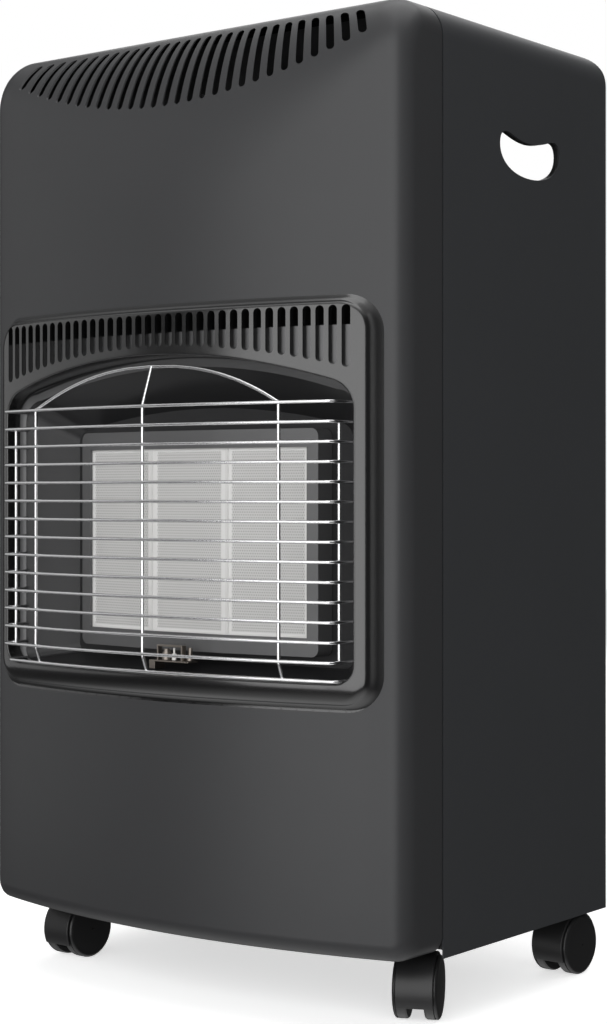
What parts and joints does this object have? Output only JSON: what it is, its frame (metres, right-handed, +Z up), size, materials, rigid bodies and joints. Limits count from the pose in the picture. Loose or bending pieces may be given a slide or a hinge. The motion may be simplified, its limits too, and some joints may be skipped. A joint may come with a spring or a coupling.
{
  "type": "portable gas cabinet heater",
  "caption": "Free-standing gas cabinet heater: bowed front with radiant ceramic burner behind a wire guard, sheet-metal bottle cabinet with grip holes, lift-off rear cover, twin-wheel casters.",
  "frame": {"origin": "centre of the overall box at floor level", "axes": "+Z up, -Y is the front with the burner, +X is the right side seen from the front"},
  "size_m": [0.42, 0.3866, 0.7648],
  "materials": {
    "cabinet_paint": "satin anthracite powder coat",
    "cover_paint": "satin anthracite metallic paint",
    "surround_paint": "semi-gloss dark grey paint",
    "tray_steel": "black paint",
    "enamel": "dark glossy heat-resistant enamel",
    "guard_chrome": "bright chrome",
    "zinc": "zinc plated",
    "cast_alloy": "die cast",
    "brass": "bare",
    "ceramic": "unglazed ceramic, porous",
    "black_plastic": "fine texture",
    "knob_plastic": "semi-gloss",
    "button_plastic": "red",
    "caster_plastic": "black nylon",
    "wheel_plastic": "black nylon"
  },
  "bodies": {
    "cabinet": {"cabinet_wrap": "cabinet_paint", "handle_liner_left": "black_plastic", "handle_liner_right": "black_plastic", "base_tray": "tray_steel", "heat_shield": "zinc", "front_cover": "cover_paint", "grille_surround": "surround_paint", "wire_guard": "guard_chrome", "reflector_housing": "enamel", "burner_frame": "enamel", "ceramic_plaque_left": "ceramic", "ceramic_plaque_center": "ceramic", "ceramic_plaque_right": "ceramic", "burner_body_left": "zinc", "burner_body_center": "zinc", "burner_body_right": "zinc", "injector_rail": "brass", "supply_pipe": "zinc", "gas_valve": "cast_alloy", "control_panel": "black_plastic", "piezo_igniter": "black_plastic", "inlet_nozzle": "brass", "pilot_bracket": "zinc", "pilot_burner": "brass", "spark_electrode": "ceramic", "thermocouple": "brass", "caster_socket_front_left": "caster_plastic", "caster_socket_front_right": "caster_plastic", "caster_socket_rear_left": "caster_plastic", "caster_socket_rear_right": "caster_plastic"},
    "valve_spindle": {"valve_spindle": "zinc"},
    "control_knob": {"control_knob": "knob_plastic"},
    "igniter_button": {"igniter_button": "button_plastic"},
    "rear_cover": {"rear_cover": "cabinet_paint"},
    "caster_front_left": {"caster_hood_front_left": "caster_plastic", "caster_stem_front_left": "zinc", "caster_axle_front_left": "zinc"},
    "wheel_front_left_left": {"caster_wheel_front_left_left": "wheel_plastic"},
    "wheel_front_left_right": {"caster_wheel_front_left_right": "wheel_plastic"},
    "caster_front_right": {"caster_hood_front_right": "caster_plastic", "caster_stem_front_right": "zinc", "caster_axle_front_right": "zinc"},
    "wheel_front_right_left": {"caster_wheel_front_right_left": "wheel_plastic"},
    "wheel_front_right_right": {"caster_wheel_front_right_right": "wheel_plastic"},
    "caster_rear_left": {"caster_hood_rear_left": "caster_plastic", "caster_stem_rear_left": "zinc", "caster_axle_rear_left": "zinc"},
    "wheel_rear_left_left": {"caster_wheel_rear_left_left": "wheel_plastic"},
    "wheel_rear_left_right": {"caster_wheel_rear_left_right": "wheel_plastic"},
    "caster_rear_right": {"caster_hood_rear_right": "caster_plastic", "caster_stem_rear_right": "zinc", "caster_axle_rear_right": "zinc"},
    "wheel_rear_right_left": {"caster_wheel_rear_right_left": "wheel_plastic"},
    "wheel_rear_right_right": {"caster_wheel_rear_right_right": "wheel_plastic"}
  },
  "joints": [
    {"name": "knob_turn", "type": "hinge", "parent": "cabinet", "child": "valve_spindle", "pos_m": [-0.038, 0.08602, 0.752], "axis": [0, 0, 1], "range_deg": [0, 210]},
    {"name": "knob_press", "type": "slide", "parent": "valve_spindle", "child": "control_knob", "axis": [0, 0, -1], "range_m": [0, 0.005], "stiffness_N_per_m": 600, "springref_m": -0.002},
    {"name": "igniter_press", "type": "slide", "parent": "cabinet", "child": "igniter_button", "axis": [0, 0, -1], "range_m": [0, 0.006], "stiffness_N_per_m": 600, "springref_m": -0.002},
    {"name": "rear_cover_lift", "type": "slide", "parent": "cabinet", "child": "rear_cover", "axis": [0, 0, 1], "range_m": [0, 0.02]},
    {"name": "swivel_front_left", "type": "hinge", "parent": "cabinet", "child": "caster_front_left", "pos_m": [-0.172, -0.06798, 0.053], "axis": [0, 0, 1], "continuous": true},
    {"name": "roll_front_left_left", "type": "hinge", "parent": "caster_front_left", "child": "wheel_front_left_left", "pos_m": [-0.17249, -0.08197, 0.024], "axis": [0.9994, -0.0349, 0], "continuous": true},
    {"name": "roll_front_left_right", "type": "hinge", "parent": "caster_front_left", "child": "wheel_front_left_right", "pos_m": [-0.17249, -0.08197, 0.024], "axis": [0.9994, -0.0349, 0], "continuous": true},
    {"name": "swivel_front_right", "type": "hinge", "parent": "cabinet", "child": "caster_front_right", "pos_m": [0.172, -0.06798, 0.053], "axis": [0, 0, 1], "continuous": true},
    {"name": "roll_front_right_left", "type": "hinge", "parent": "caster_front_right", "child": "wheel_front_right_left", "pos_m": [0.17814, -0.08056, 0.024], "axis": [0.8988, 0.4384, 0], "continuous": true},
    {"name": "roll_front_right_right", "type": "hinge", "parent": "caster_front_right", "child": "wheel_front_right_right", "pos_m": [0.17814, -0.08056, 0.024], "axis": [0.8988, 0.4384, 0], "continuous": true},
    {"name": "swivel_rear_left", "type": "hinge", "parent": "cabinet", "child": "caster_rear_left", "pos_m": [-0.186, 0.13142, 0.053], "axis": [0, 0, 1], "continuous": true},
    {"name": "roll_rear_left_left", "type": "hinge", "parent": "caster_rear_left", "child": "wheel_rear_left_left", "pos_m": [-0.18309, 0.11773, 0.024], "axis": [0.9781, 0.2079, 0], "continuous": true},
    {"name": "roll_rear_left_right", "type": "hinge", "parent": "caster_rear_left", "child": "wheel_rear_left_right", "pos_m": [-0.18309, 0.11773, 0.024], "axis": [0.9781, 0.2079, 0], "continuous": true},
    {"name": "swivel_rear_right", "type": "hinge", "parent": "cabinet", "child": "caster_rear_right", "pos_m": [0.186, 0.13142, 0.053], "axis": [0, 0, 1], "continuous": true},
    {"name": "roll_rear_right_left", "type": "hinge", "parent": "caster_rear_right", "child": "wheel_rear_right_left", "pos_m": [0.18551, 0.11743, 0.024], "axis": [0.9994, -0.0349, 0], "continuous": true},
    {"name": "roll_rear_right_right", "type": "hinge", "parent": "caster_rear_right", "child": "wheel_rear_right_right", "pos_m": [0.18551, 0.11743, 0.024], "axis": [0.9994, -0.0349, 0], "continuous": true}
  ]
}
